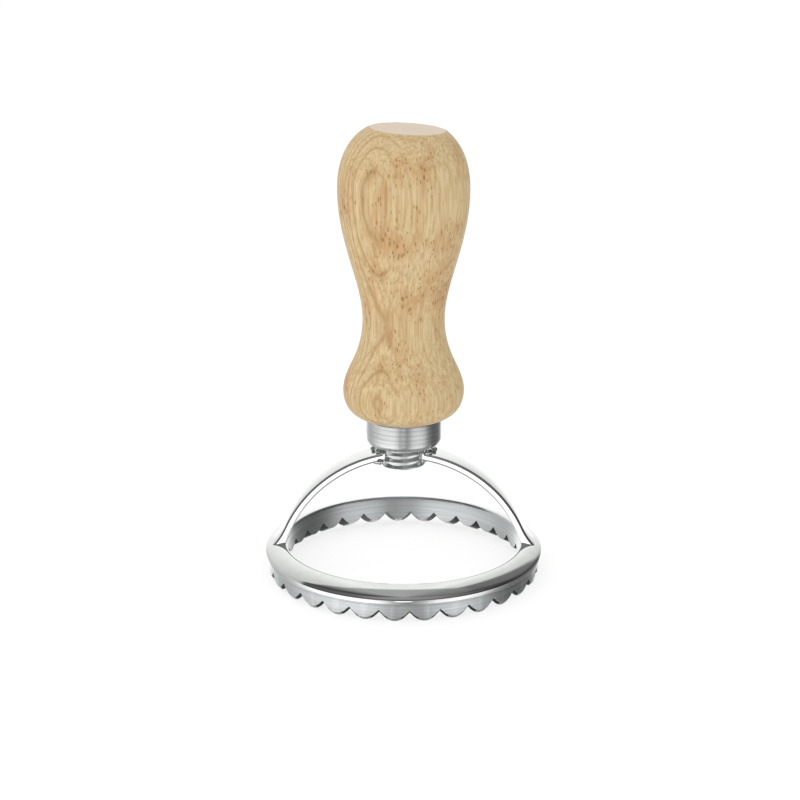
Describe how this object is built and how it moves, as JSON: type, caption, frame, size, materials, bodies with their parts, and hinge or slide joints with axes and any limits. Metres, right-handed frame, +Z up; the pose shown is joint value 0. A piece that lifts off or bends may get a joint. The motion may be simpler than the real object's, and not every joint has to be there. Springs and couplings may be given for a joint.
{
  "type": "dough cutter",
  "caption": "Round dough cutter: a scalloped steel cutting ring in a polished rim, carried by two bent straps and a stud under a turned wooden grip.",
  "frame": {"origin": "on the handle's axis, level with the tips of the cutting edge", "axes": "+Z up the handle's axis; +X through the foot of the right leg, -Y towards the viewer"},
  "size_m": [0.064, 0.064, 0.103],
  "materials": {
    "cutter_steel": "turned, satin",
    "rim_steel": "polished stainless steel",
    "strap_steel": "polished stainless steel strap",
    "braze": "silver brazing metal, lightly ground",
    "stud_steel": "machined thread, plated",
    "collar_metal": "turned, satin",
    "insert_brass": "machined",
    "wood": "turned light hardwood, thin matt oil"
  },
  "bodies": {
    "root": {"cutter_ring": "cutter_steel", "rim": "rim_steel", "left_leg": "strap_steel", "right_leg": "strap_steel", "hub_braze": "braze", "stud": "stud_steel", "collar": "collar_metal", "threaded_insert": "insert_brass", "handle": "wood"}
  },
  "joints": []
}
